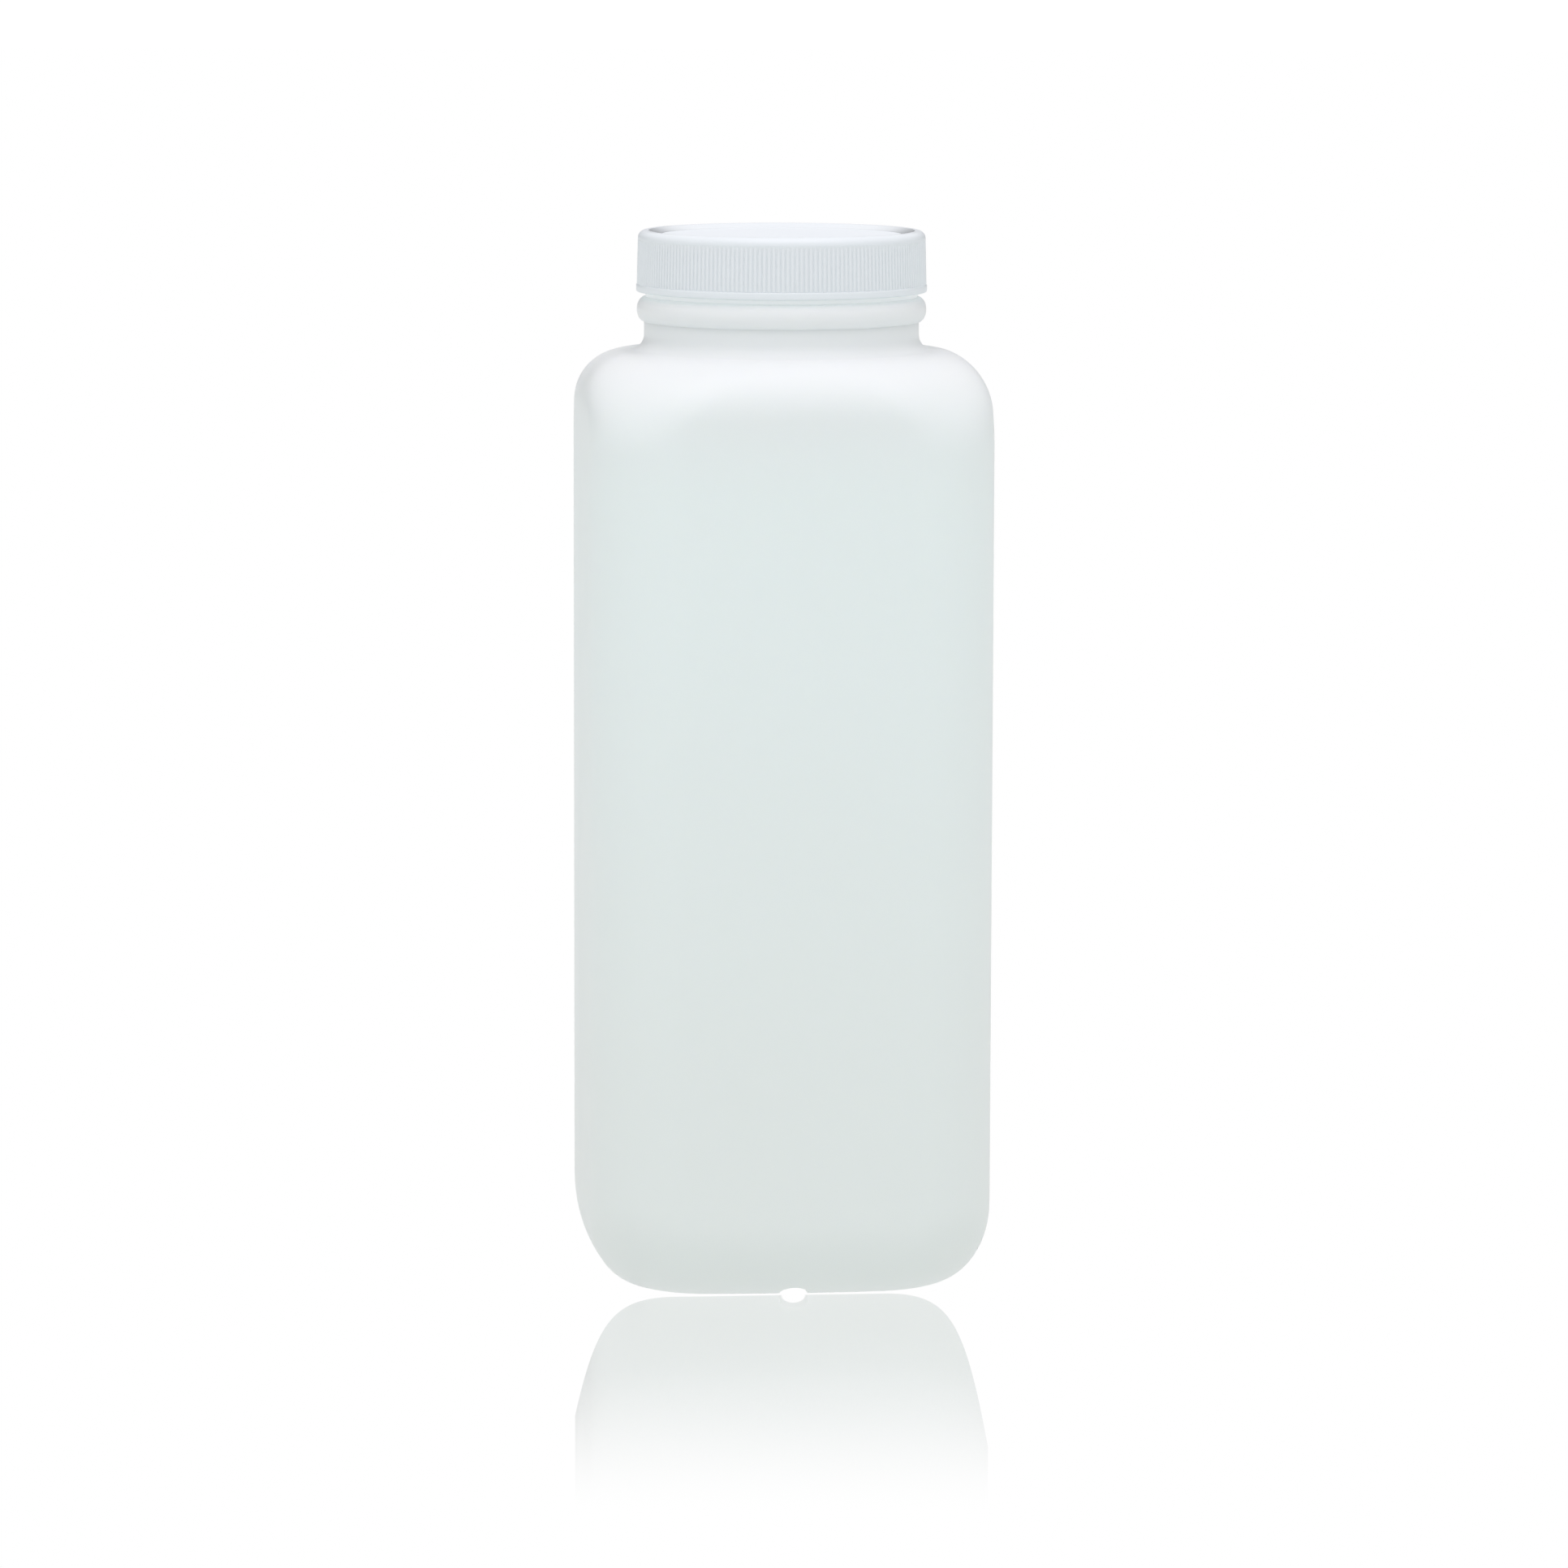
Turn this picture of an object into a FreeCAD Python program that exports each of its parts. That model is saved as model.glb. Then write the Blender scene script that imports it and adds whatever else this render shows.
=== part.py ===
import FreeCAD, Part
import math
import os

# Square wide-mouth bottle, blow-moulded in natural HDPE, with a ribbed screw cap and its sealing disc.
# Millimetres, +Z up. The origin is the middle of the base, on the plane that the bottle stands on.
# The side walls face along X and Y, and the mould's parting plane is X = 0.

# Body
body_width = 78.9           # across two opposite side walls
body_corner = 17.0          # radius of the upright corners
base_corner = 13.0          # the same at the base
side_tilt = 4.5             # degrees that a slightly crowned side has turned where a corner begins
heel_width = 11.0           # how far the heel curves in under a side wall
heel_height = 15.4          # how far the heel curves up a side wall
heel_corner_rise = 3.0      # how much further up it curves at a corner
shoulder_height = 10.5      # from the top of the side walls to the top of the shoulder
shoulder_corner_drop = 7.0  # how much lower the shoulder starts at a corner than at a side
wall = 1.15                 # side walls, heel and shoulder
base_wall = 1.6

# Underside
ring_width = 6.5            # flat ring that the bottle stands on
push_up_depth = 2.2         # the hollow inside that ring
push_up_slope = 4.0         # how far the hollow's sides slope in
push_up_corner = 9.0
notch_width = 5.3           # the groove across the ring, on the parting plane
notch_height = 1.9
seam_width = 0.9            # the weld where the mould pinched the tube off
seam_height = 0.5           # down from the hollow's roof

# Neck, a 53 mm one-turn finish with 6 threads to the inch
rim_height = 198.4          # from the base to the sealing rim
neck_wall = 2.355           # from the mouth's bore to the roots of the thread
thread_diameter = 52.07     # over the crests of the bottle's thread
thread_depth = 1.18
thread_pitch = 25.4 / 6
thread_crest = 1.0          # width of the thread's crest
thread_flank = 30.0         # degrees from square to the axis
thread_turns = 1.25
thread_root_bite = 0.5      # how far either thread is rooted in its wall
thread_start = 1.5          # from the rim down to the middle of the thread's upper end
rim_round = 0.5
collar_height = 4.0         # from the middle of the bead to the top of the plain land over it
neck_step = 0.3             # how much larger the neck is below the bead than that land
bead_height = 4.7
bead_projection = 1.4       # beyond the neck
bead_drop = 11.8            # from the rim to the middle of the bead
neck_length = 7.9           # from the middle of the bead to the top of the shoulder
neck_fillet = 3.0
shoulder_land = 0.3         # flat ring between the shoulder's curve and the neck's fillet
throat_land = 1.0           # the same inside, between the shoulder's curve and the mouth's bore

# Cap
thread_clearance = 0.24     # radial, between either crest and the other piece's root
flank_clearance = 0.08      # axial, between the working flanks when the cap is tight
collar_clearance = 0.17     # radial, between the skirt's edge and the land it comes down over
cap_thread_crest = 0.7
cap_thread_foot = 0.05      # from the land up to the lower end of the cap's thread
cap_thread_head = 1.15      # from the rim down to the middle of the thread's upper end
skirt_gap = 1.0             # from the bead up to the skirt's edge
skirt_wall = 1.53           # at the skirt's edge, over the rib tips
skirt_draft = 0.21          # how much narrower the rib tips are at the top
band_height = 1.4           # plain band round the skirt's edge
band_projection = 0.11      # beyond the rib tips
band_chamfer = 0.2          # round the band's lower edge, and down its upper side
rib_count = 196
rib_depth = 0.3
rib_end_step = 0.02         # how far inside the rounded edge the rib tips end, right under it
top_wall = 1.25
crest_height = 0.9          # the raised edge round the top panel
crest_round = 1.5
crest_flat = 0.4            # flat on top of the raised edge
crest_slope = 2.6           # width of the slope from the raised edge down to the panel

# Sealing disc
foam_thickness = 0.95
facing_thickness = 0.15
disc_clearance = 0.5        # round the disc, inside the skirt

# Heights and radii that follow from those
half_width = body_width / 2
thread_crest_radius = thread_diameter / 2
thread_root_radius = thread_crest_radius - thread_depth
mouth_radius = thread_root_radius - neck_wall
skirt_inner_radius = thread_crest_radius + thread_clearance
collar_radius = skirt_inner_radius - collar_clearance
neck_radius = collar_radius + neck_step
neck_foot = neck_radius + neck_fillet
bead_level = rim_height - bead_drop
shoulder_top = bead_level - neck_length
wall_top = shoulder_top - shoulder_height
base_half_width = half_width - heel_width
bead_foot = bead_level - bead_height / 2
bead_head = bead_level + bead_height / 2
collar_top = bead_level + collar_height
thread_floor = collar_top + collar_radius - thread_root_radius
thread_level = rim_height - thread_start - thread_turns * thread_pitch
cap_crest_radius = thread_root_radius + thread_clearance
rib_tip_radius = skirt_inner_radius + skirt_wall
top_tip_radius = rib_tip_radius - skirt_draft
slope_radius = top_tip_radius - crest_round - crest_flat
skirt_edge = bead_head + skirt_gap
panel_underside = rim_height + facing_thickness + foam_thickness
panel_top = panel_underside + top_wall
cap_top = panel_top + crest_height
disc_radius = skirt_inner_radius - disc_clearance

HEEL_SECTIONS = 8
HOLLOW_SECTIONS = 5
SHOULDER_SECTIONS = 10
SECTIONS_PER_TURN = 36
THREAD_FADE = 4             # sections over which a thread's end rises to its full depth
Z_AXIS = FreeCAD.Vector(0, 0, 1)
ORIGIN = FreeCAD.Vector(0, 0, 0)


def crowned_square(half, diagonal, level):
    """Closed wire of tangent arcs round a square, from its half widths to a side and to a corner."""
    tilt = math.radians(side_tilt)
    lean = 1 - math.cos(tilt) + math.sin(tilt)
    skew = (math.cos(tilt) - math.sin(tilt)) / lean
    to_corner = math.sqrt(2) * math.sin(tilt)
    corner = (diagonal - to_corner * half / lean) / (1 - to_corner * (skew + 1))
    side = half / lean - corner * skew
    centre = (side - corner) * math.sin(tilt)
    edges = []
    for quarter in range(4):
        arcs = ((half - side, 0, side, -tilt, tilt), (centre, centre, corner, tilt, math.pi / 2 - tilt))
        for x, y, radius, start, end in arcs:
            points = []
            for angle in (start, (start + end) / 2, end):
                point = FreeCAD.Vector(x + radius * math.cos(angle), y + radius * math.sin(angle), level)
                points.append(FreeCAD.Rotation(Z_AXIS, 90 * quarter).multVec(point))
            edges.append(Part.Arc(*points).toShape())
    return Part.Wire(edges)


def diagonal_of(half, corner):
    """Half width to a corner of a crowned square with a corner radius."""
    tilt = math.radians(side_tilt)
    side = (half - corner * (math.cos(tilt) - math.sin(tilt))) / (1 - math.cos(tilt) + math.sin(tilt))
    return math.sqrt(2) * (side - corner) * math.sin(tilt) + corner


def bowed(near, far, share):
    """Elliptic arc from near, where it leaves along the share's axis, to far, where it turns off."""
    return near + (far - near) * (1 - math.sqrt(max(0.0, 1 - share * share)))


def heel_wires(thickness, floor):
    """Sections up the heel, for a skin set in from the outside by a thickness and a floor."""
    wires = []
    top = heel_height + heel_corner_rise
    foot = diagonal_of(base_half_width, base_corner)
    wide = diagonal_of(half_width - thickness, body_corner - thickness)
    for i in range(HEEL_SECTIONS + 1):
        level = floor + (top - floor) * (1 - math.cos(math.pi / 2 * i / HEEL_SECTIONS))
        to_side = max(0.0, (heel_height - level) / (heel_height - floor))
        half = bowed(half_width - thickness, base_half_width, to_side)
        diagonal = bowed(wide, foot, (top - level) / (top - floor))
        wires.append(crowned_square(half, diagonal, level))
    return wires


def shoulder_wires(thickness, end_radius, rise):
    """Sections over the shoulder, which comes in to a circle, the corners from lower down."""
    wires = []
    widest = half_width - thickness
    wide = diagonal_of(widest, body_corner - thickness)
    start = wall_top - shoulder_corner_drop
    for i in range(SHOULDER_SECTIONS + 1):
        level = start + (wall_top + rise - start) * math.sin(math.pi / 2 * i / SHOULDER_SECTIONS)
        half = bowed(widest, end_radius, max(0.0, (level - wall_top) / rise))
        diagonal = bowed(wide, end_radius, (level - start) / (wall_top + rise - start))
        wires.append(crowned_square(half, diagonal, level))
    return wires


def skin(*stretches):
    """Closed solid of stretches that follow each other, each lofted smoothly through its wires."""
    faces = [Part.Face(stretches[0][0]), Part.Face(stretches[-1][-1])]
    for wires in stretches:
        faces += Part.makeLoft(wires, False).Faces
    shell = Part.makeShell(faces)
    shell.sewShape()
    return Part.makeSolid(shell)


def body_skin(thickness, floor, end_radius, rise):
    """Closed solid from the base over the shoulder, set in by a thickness and a floor."""
    heel = heel_wires(thickness, floor)
    shoulder = shoulder_wires(thickness, end_radius, rise)
    return skin(heel, [heel[-1], shoulder[0]], shoulder)


def outline(start, *steps):
    """Closed wire in the XZ plane. A step is a corner, or two points for an arc through the first."""
    edges = []
    here = FreeCAD.Vector(start[0], 0, start[1])
    for step in steps + (start,):
        if len(step) == 4:
            middle = FreeCAD.Vector(step[0], 0, step[1])
            there = FreeCAD.Vector(step[2], 0, step[3])
            edges.append(Part.Arc(here, middle, there).toShape())
        else:
            there = FreeCAD.Vector(step[0], 0, step[1])
            edges.append(Part.LineSegment(here, there).toShape())
        here = there
    return Part.Wire(edges)


def turned(start, *steps):
    """Solid turned about Z from an outline given as radius and height."""
    return Part.Face(outline(start, *steps)).revolve(ORIGIN, Z_AXIS, 360)


def round_corner(centre, radius, start, end):
    """Arc step about a centre, from one angle in degrees to another."""
    step = []
    for angle in ((start + end) / 2, end):
        step.append(centre[0] + radius * math.cos(math.radians(angle)))
        step.append(centre[1] + radius * math.sin(math.radians(angle)))
    return tuple(step)


def thread(root, crest, crest_width, level, turns):
    """Right-hand thread from a level upwards, fading out at both ends and rooted in the wall."""
    count = math.floor(turns * SECTIONS_PER_TURN)
    flank = math.tan(math.radians(thread_flank))
    sunk = root - math.copysign(thread_root_bite, crest - root)
    sections = []
    for i in range(count + 1):
        share = min(1.0, (i + 0.6) / THREAD_FADE, (count - i + 0.6) / THREAD_FADE)
        middle = level + thread_pitch * i / SECTIONS_PER_TURN
        top = root + (crest - root) * share
        half_crest = crest_width / 2
        half_foot = half_crest + abs(top - sunk) * flank
        section = outline((sunk, middle - half_foot), (top, middle - half_crest),
                          (top, middle + half_crest), (sunk, middle + half_foot))
        section.rotate(ORIGIN, Z_AXIS, 360 * i / SECTIONS_PER_TURN)
        sections.append(section)
    return Part.makeLoft(sections, True)


def push_up(clearance, floor):
    """Solid of the hollow under the base, or with a skin over it the raised floor inside."""
    outer = base_half_width - ring_width + clearance
    wires = [crowned_square(outer, diagonal_of(outer, push_up_corner), -1.0)]
    for i in range(1, HOLLOW_SECTIONS + 1):
        angle = math.pi / 2 * i / HOLLOW_SECTIONS
        half = outer - push_up_slope * (1 - math.cos(angle))
        level = (push_up_depth + floor) * math.sin(angle)
        wires.append(crowned_square(half, diagonal_of(half, push_up_corner), level))
    return skin(wires)


def notch(clearance, floor):
    """Arched bar along Y that cuts the grooves across the standing ring."""
    half = notch_width / 2 + clearance
    height = notch_height + floor
    spring = height / 3
    arch = outline((half, -1.0), (half, spring), (0, height, -half, spring), (-half, -1.0))
    bar = Part.Face(arch).extrude(FreeCAD.Vector(0, body_width, 0))
    bar.translate(FreeCAD.Vector(0, -half_width, 0))
    return bar


def make_bottle():
    """The bottle, one hollow piece from its base to its threaded neck."""
    outside = body_skin(0, 0, neck_foot + shoulder_land, shoulder_height)
    neck = turned(
        (0, wall_top),
        (mouth_radius + wall, wall_top),
        (neck_foot, shoulder_top),
        round_corner((neck_foot, shoulder_top + neck_fillet), neck_fillet, 270, 180),
        (neck_radius, bead_foot),
        (neck_radius + bead_projection, bead_level, collar_radius, bead_head),
        (collar_radius, collar_top),
        (thread_root_radius, thread_floor),
        (thread_root_radius, rim_height - rim_round),
        round_corner((thread_root_radius - rim_round, rim_height - rim_round), rim_round, 0, 90),
        (0, rim_height),
    )
    outside = outside.fuse(neck)
    outside = outside.fuse(thread(thread_root_radius, thread_crest_radius, thread_crest,
                                  thread_level, thread_turns))
    outside = outside.cut(push_up(0, 0))
    outside = outside.cut(notch(0, 0))
    seam_length = 2 * (base_half_width - ring_width - push_up_slope)
    seam = Part.makeBox(seam_width, seam_length, seam_height + base_wall / 2)
    seam.translate(FreeCAD.Vector(-seam_width / 2, -seam_length / 2, push_up_depth - seam_height))
    outside = outside.fuse(seam)

    inside = body_skin(wall, base_wall, mouth_radius + throat_land, shoulder_height - wall)
    inside = inside.cut(push_up(wall, base_wall))
    inside = inside.cut(notch(wall, base_wall))
    bore = turned(
        (0, wall_top),
        (mouth_radius, wall_top),
        (mouth_radius, rim_height - rim_round),
        round_corner((mouth_radius + rim_round, rim_height - rim_round), rim_round, 180, 90),
        (mouth_radius + rim_round, rim_height + 1),
        (0, rim_height + 1),
    )
    return outside.cut(inside.fuse(bore))


def rib_wire(tip_radius, level):
    """Closed toothed wire, one pointed rib after another."""
    points = []
    for i in range(2 * rib_count):
        radius = tip_radius - rib_depth * (i % 2)
        angle = math.pi * i / rib_count
        points.append(FreeCAD.Vector(radius * math.cos(angle), radius * math.sin(angle), level))
    return Part.makePolygon(points + points[:1])


def make_cap():
    """The screw cap, with its ribbed skirt, raised edge and inside thread."""
    round_level = cap_top - crest_round
    band_top = skirt_edge + band_height
    band_radius = rib_tip_radius + band_projection
    grip = Part.makeLoft([rib_wire(rib_tip_radius, band_top),
                          rib_wire(top_tip_radius - rib_end_step, round_level)], True, True)
    top = turned(
        (0, round_level),
        (top_tip_radius, round_level),
        round_corner((top_tip_radius - crest_round, round_level), crest_round, 0, 90),
        (slope_radius, cap_top),
        (slope_radius - crest_slope, panel_top),
        (0, panel_top),
    )
    band = turned(
        (0, skirt_edge),
        (band_radius - band_chamfer, skirt_edge),
        (band_radius, skirt_edge + band_chamfer),
        (band_radius, band_top - band_chamfer / 2),
        (band_radius - band_chamfer, band_top),
        (0, band_top),
    )
    hollow = turned((0, skirt_edge - 1), (skirt_inner_radius, skirt_edge - 1),
                    (skirt_inner_radius, panel_underside), (0, panel_underside))
    cap = grip.fuse(top).fuse(band).cut(hollow)
    # The cap's thread lies on the bottle's helix, lowered until the working flanks nearly meet.
    overlap = thread_crest_radius - cap_crest_radius
    drop = (thread_crest + cap_thread_crest) / 2 + flank_clearance
    drop += overlap * math.tan(math.radians(thread_flank))
    level = thread_floor + cap_thread_foot + cap_thread_crest / 2
    turns = (rim_height - cap_thread_head - level) / thread_pitch
    turn = (level - (thread_level - drop)) / thread_pitch * 360
    inner = thread(skirt_inner_radius, cap_crest_radius, cap_thread_crest, level, turns)
    inner.rotate(ORIGIN, Z_AXIS, turn)
    return cap.fuse(inner)


def make_disc(low, high):
    """One layer of the sealing disc."""
    return turned((0, low), (disc_radius, low), (disc_radius, high), (0, high))


os.makedirs("parts", exist_ok=True)
facing_top = rim_height + facing_thickness
pieces = {
    "bottle": make_bottle(),
    "cap": make_cap(),
    "liner_foam": make_disc(facing_top, panel_underside),
    "liner_facing": make_disc(rim_height, facing_top),
}
for name, piece in pieces.items():
    piece.exportStep("parts/" + name + ".step")
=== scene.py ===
"""Looks of a square wide-mouth reagent bottle: natural polyethylene body, ribbed screw cap and sealing disc.

Lengths are millimetres in the classes below and become metres where a mesh is written.
"""
import logging
import math
from dataclasses import dataclass, field
from enum import Enum

import bpy
from mathutils import Matrix, Vector


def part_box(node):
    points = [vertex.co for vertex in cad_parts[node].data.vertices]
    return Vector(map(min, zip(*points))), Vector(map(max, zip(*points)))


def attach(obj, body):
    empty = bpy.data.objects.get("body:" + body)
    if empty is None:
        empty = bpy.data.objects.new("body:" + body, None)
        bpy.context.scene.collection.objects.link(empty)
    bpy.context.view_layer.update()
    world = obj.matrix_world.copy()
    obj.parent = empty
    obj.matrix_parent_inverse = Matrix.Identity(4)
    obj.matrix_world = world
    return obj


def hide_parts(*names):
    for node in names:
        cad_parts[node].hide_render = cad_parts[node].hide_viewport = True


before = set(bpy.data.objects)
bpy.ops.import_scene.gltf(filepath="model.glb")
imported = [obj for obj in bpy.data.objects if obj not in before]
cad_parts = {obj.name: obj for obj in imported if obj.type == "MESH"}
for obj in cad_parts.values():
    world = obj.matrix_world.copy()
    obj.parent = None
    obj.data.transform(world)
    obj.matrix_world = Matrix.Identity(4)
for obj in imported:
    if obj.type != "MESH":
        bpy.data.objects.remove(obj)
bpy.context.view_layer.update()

LOG = logging.getLogger("reagent_bottle")
MM = 0.001
Ring = list[tuple[float, float, float]]


def in_mm(node: str) -> tuple[Vector, Vector]:
    """Gives a CAD node's lowest and highest corners in millimetres.

    Args:
        node: the CAD node's name.

    Returns:
        The lowest and the highest corner.
    """
    low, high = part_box(node)
    return low / MM, high / MM


class Wall(Enum):
    """Which skin of the blown wall a section lies on."""

    OUTER = "outer"
    INNER = "inner"


class Nodes:
    """A node tree, with short calls that add and join nodes."""

    def __init__(self, tree: bpy.types.NodeTree) -> None:
        """Keeps the tree and empties it."""
        self.tree = tree
        tree.nodes.clear()

    def add(self, kind: str, inputs: dict | None = None, **settings: object) -> bpy.types.Node:
        """Adds a node.

        Args:
            kind: the node's type.
            inputs: values or sockets for its inputs, by name or number.
            settings: properties of the node.

        Returns:
            The new node.
        """
        node = self.tree.nodes.new(kind)
        for name, value in settings.items():
            setattr(node, name, value)
        for name, value in (inputs or {}).items():
            if isinstance(value, bpy.types.NodeSocket):
                self.tree.links.new(value, node.inputs[name])
            else:
                node.inputs[name].default_value = value
        return node

    def math(self, operation: str, first: object, second: object = 0.0) -> bpy.types.NodeSocket:
        """Adds a Math node and returns its result."""
        return self.add("ShaderNodeMath", {0: first, 1: second}, operation=operation).outputs[0]

    def noise(self, where: bpy.types.NodeSocket, scale: float, detail: float = 2.0) -> bpy.types.NodeSocket:
        """Adds a Noise texture and returns its value."""
        node = self.add("ShaderNodeTexNoise", {"Vector": where, "Scale": scale, "Detail": detail})
        return node.outputs["Fac"]

    def spread(self, value: bpy.types.NodeSocket, low: float, high: float,
               start: float = 0.0, end: float = 1.0) -> bpy.types.NodeSocket:
        """Maps start..end to low..high, smoothly, and returns the result."""
        inputs = {"Value": value, "From Min": start, "From Max": end, "To Min": low, "To Max": high}
        return self.add("ShaderNodeMapRange", inputs, interpolation_type="SMOOTHSTEP").outputs[0]

    def blend(self, share: bpy.types.NodeSocket, first: object, second: object) -> bpy.types.NodeSocket:
        """Mixes two colours and returns the result."""
        node = self.add("ShaderNodeMix", data_type="RGBA")
        for index, value in ((0, share), (6, first), (7, second)):
            if isinstance(value, bpy.types.NodeSocket):
                self.tree.links.new(value, node.inputs[index])
            else:
                node.inputs[index].default_value = value
        return node.outputs[2]


def rgba(red: float, green: float, blue: float) -> tuple[float, float, float, float]:
    """Gives an opaque linear colour."""
    return (red, green, blue, 1.0)


def new_material(name: str) -> tuple[bpy.types.Material, Nodes, bpy.types.NodeSocket]:
    """Starts a material.

    Args:
        name: the material's name.

    Returns:
        The material, its empty nodes, and its Object coordinates.
    """
    material = bpy.data.materials.new(name)
    material.use_nodes = True
    nodes = Nodes(material.node_tree)
    return material, nodes, nodes.add("ShaderNodeTexCoord").outputs["Object"]


@dataclass(frozen=True)
class NaturalPolyethylene:
    """Milky, unpigmented high-density polyethylene with the satin skin of a blown wall."""

    name: str = "natural_polyethylene"
    slot: str = "natural_hdpe"
    # painted shade: the body is coloured darker low down and lighter high up, standing in for the top light
    # falling off towards the base
    shaded_low_colour: tuple = rgba(0.80, 0.855, 0.835)
    lit_high_colour: tuple = rgba(0.82, 0.905, 0.89)
    neck_colour: tuple = rgba(0.815, 0.85, 0.852)
    height: float = 0.15
    neck: float = 0.185
    depth: float = 0.0009
    collar: float = 0.1894      # level of a painted glow under the cap: emission that stands in for light coming through the thick wall
    collar_reach: float = 0.0014
    painted_collar_glow: float = 0.23
    drift_scale: float = 14.0   # slow changes of tint, satin patches, ripples and fine peel of the blown skin
    satin_scale: float = 55.0
    ripple_scale: float = 70.0
    peel_scale: float = 1500.0
    peel_share: float = 0.12

    def make(self) -> bpy.types.Material:
        """Builds the material.

        Returns:
            The finished material.
        """
        material, nodes, place = new_material(self.name)
        level = nodes.add("ShaderNodeSeparateXYZ", {0: place}).outputs["Z"]
        drift = nodes.math("SUBTRACT", nodes.noise(place, self.drift_scale, 3.0), 0.5)
        drift = nodes.math("MULTIPLY", drift, 0.5)
        # painted shade: the colour grows darker towards the base, where less top light falls
        share = nodes.math("ADD", nodes.spread(level, 0.0, 1.0, 0.0, self.height), drift)
        colour = nodes.blend(share, self.shaded_low_colour, self.lit_high_colour)
        share = nodes.spread(level, 0.0, 1.0, self.height, self.neck)
        colour = nodes.blend(share, colour, self.neck_colour)
        # painted glow: the body emits its neck colour in a narrow band at the collar, under the cap, standing
        # in for light through the translucent wall
        away = nodes.math("ABSOLUTE", nodes.math("SUBTRACT", level, self.collar))
        glow = nodes.spread(away, self.painted_collar_glow, 0.0, 0.0, self.collar_reach)
        rough = nodes.spread(nodes.noise(place, self.satin_scale, 2.0), 0.36, 0.46, 0.3, 0.7)
        peel = nodes.noise(place, self.peel_scale, 2.0)
        ripple = nodes.noise(place, self.ripple_scale, 1.0)
        relief = nodes.math("ADD", nodes.math("MULTIPLY", peel, self.peel_share), ripple)
        bump = nodes.add("ShaderNodeBump", {"Strength": 0.12, "Distance": 0.0006, "Height": relief})
        shader = nodes.add("ShaderNodeBsdfPrincipled", {
            "Base Color": colour, "Roughness": rough, "Normal": bump.outputs[0],
            "Subsurface Weight": 1.0, "Subsurface Radius": (1.0, 1.0, 0.95),
            "Subsurface Scale": self.depth, "Specular IOR Level": 0.35, "IOR": 1.52,
            "Emission Color": self.neck_colour, "Emission Strength": glow})
        nodes.add("ShaderNodeOutputMaterial", {"Surface": shader.outputs[0]})
        return material


@dataclass(frozen=True)
class WhitePolypropylene:
    """White pigmented polypropylene with a semi-gloss moulded skin."""

    name: str = "white_polypropylene"
    slot: str = "white_pp"
    colour: tuple = rgba(0.775, 0.835, 0.862)
    pale: tuple = rgba(0.795, 0.85, 0.872)
    panel_radius: float = 0.0231
    slope_radius: float = 0.0257
    slope_level: float = 0.2008
    panel_rough: float = 0.7
    slope_rough: float = 0.1
    tint_scale: float = 40.0    # faint changes of tint, of gloss, and the fine grain of the mould
    gloss_scale: float = 240.0
    grain_scale: float = 2600.0

    def make(self) -> bpy.types.Material:
        """Builds the material.

        Returns:
            The finished material.
        """
        material, nodes, place = new_material(self.name)
        colour = nodes.blend(nodes.noise(place, self.tint_scale, 1.0), self.colour, self.pale)
        apart = nodes.add("ShaderNodeSeparateXYZ", {0: place}).outputs
        flat = nodes.add("ShaderNodeCombineXYZ", {"X": apart["X"], "Y": apart["Y"]})
        radius = nodes.add("ShaderNodeVectorMath", {0: flat.outputs[0]}, operation="LENGTH").outputs["Value"]
        top = nodes.spread(apart["Z"], 0.0, 1.0, self.slope_level - 0.0004, self.slope_level - 0.0002)
        panel = nodes.spread(radius, 1.0, 0.0, self.panel_radius - 0.0002, self.panel_radius + 0.0001)
        slope = nodes.spread(radius, 1.0, 0.0, self.slope_radius - 0.0003, self.slope_radius)
        rough = nodes.spread(nodes.noise(place, self.gloss_scale, 3.0), 0.32, 0.4, 0.3, 0.7)
        inner = nodes.spread(panel, self.slope_rough, self.panel_rough)
        share = nodes.math("MULTIPLY", top, nodes.math("MAXIMUM", slope, panel))
        turned = nodes.math("SUBTRACT", inner, rough)
        rough = nodes.math("ADD", rough, nodes.math("MULTIPLY", share, turned))
        bump = nodes.add("ShaderNodeBump", {"Strength": 0.03, "Distance": 0.0002,
                                            "Height": nodes.noise(place, self.grain_scale, 1.0)})
        shader = nodes.add("ShaderNodeBsdfPrincipled", {
            "Base Color": colour, "Roughness": rough, "Normal": bump.outputs[0],
            "Subsurface Weight": 0.15, "Subsurface Radius": (1.0, 1.0, 1.0),
            "Subsurface Scale": 0.0005, "Specular IOR Level": 0.4, "IOR": 1.49})
        nodes.add("ShaderNodeOutputMaterial", {"Surface": shader.outputs[0]})
        return material


@dataclass(frozen=True)
class ClosedCellFoam:
    """White polyethylene foam with fine closed cells."""

    name: str = "closed_cell_foam"
    slot: str = "pe_foam"
    colour: tuple = rgba(0.86, 0.86, 0.85)
    shade: tuple = rgba(0.74, 0.74, 0.73)
    cell_scale: float = 3200.0

    def make(self) -> bpy.types.Material:
        """Builds the material.

        Returns:
            The finished material.
        """
        material, nodes, place = new_material(self.name)
        cells = nodes.add("ShaderNodeTexVoronoi", {"Vector": place, "Scale": self.cell_scale})
        cell = cells.outputs["Distance"]
        colour = nodes.blend(cell, self.colour, self.shade)
        bump = nodes.add("ShaderNodeBump", {"Strength": 0.5, "Distance": 0.0002, "Height": cell},
                         invert=True)
        shader = nodes.add("ShaderNodeBsdfPrincipled", {
            "Base Color": colour, "Roughness": 0.8, "Normal": bump.outputs[0],
            "Subsurface Weight": 0.3, "Subsurface Radius": (1.0, 1.0, 1.0), "Subsurface Scale": 0.001})
        nodes.add("ShaderNodeOutputMaterial", {"Surface": shader.outputs[0]})
        return material


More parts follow.
